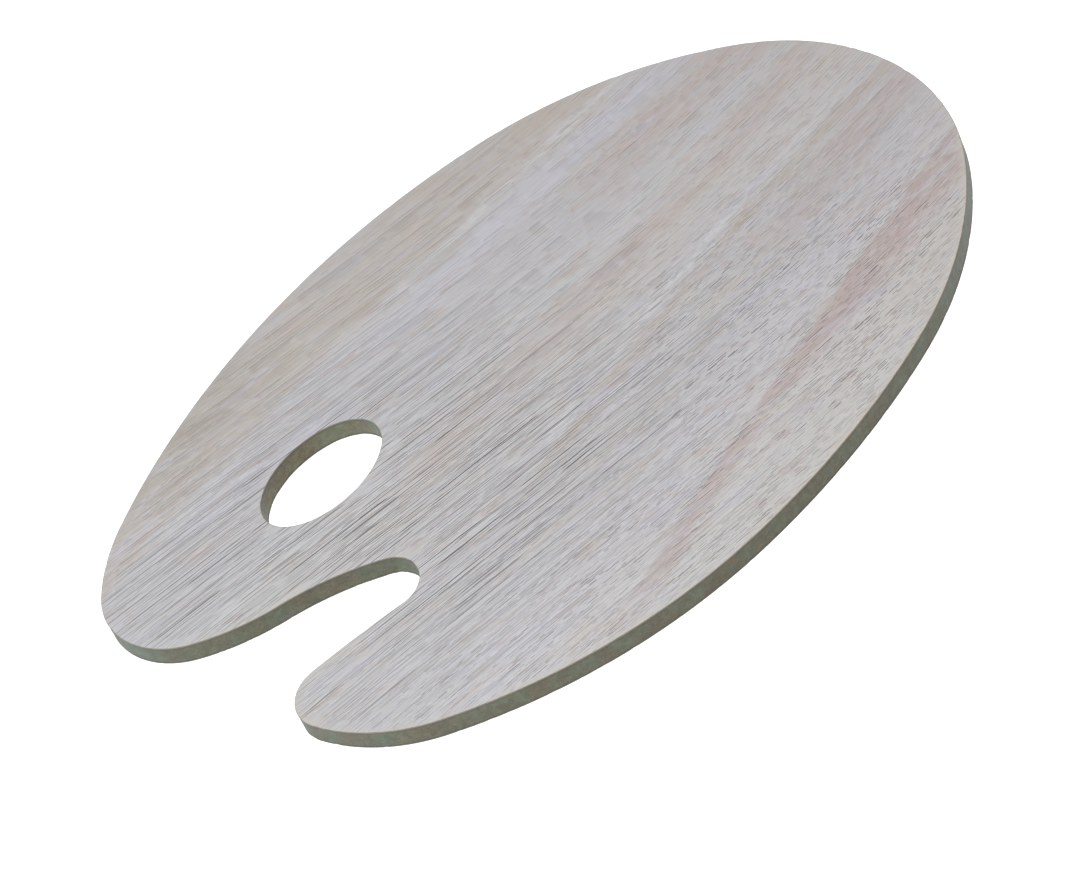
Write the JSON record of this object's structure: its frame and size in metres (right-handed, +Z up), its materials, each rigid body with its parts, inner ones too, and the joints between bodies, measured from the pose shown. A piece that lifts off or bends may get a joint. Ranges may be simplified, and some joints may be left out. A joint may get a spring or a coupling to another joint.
{
  "type": "mixing palette",
  "caption": "Flat oval hand-held board for mixing paint, with an oval thumb hole and a curved finger notch between two rounded lobes at one end, veneered on both faces.",
  "frame": {"origin": "middle of the overall length and width, on the back face the board lies on", "axes": "+X along the board, away from the finger notch; +Z up, out of the painting face; +Y across, towards the thumb hole's side"},
  "size_m": [0.3, 0.212, 0.0072],
  "materials": {
    "face_veneer": "pale limed wood veneer, open grained, dry matt",
    "back_veneer": "plain pale wood veneer, unlimed, dry matt",
    "mdf": "sawn and sanded edge of green moisture-resistant fibreboard, matt",
    "glue": "dark brown cured resin glue line"
  },
  "bodies": {
    "root": {"face_veneer": "face_veneer", "face_glue_line": "glue", "mdf_core": "mdf", "back_glue_line": "glue", "back_veneer": "back_veneer"}
  },
  "joints": []
}
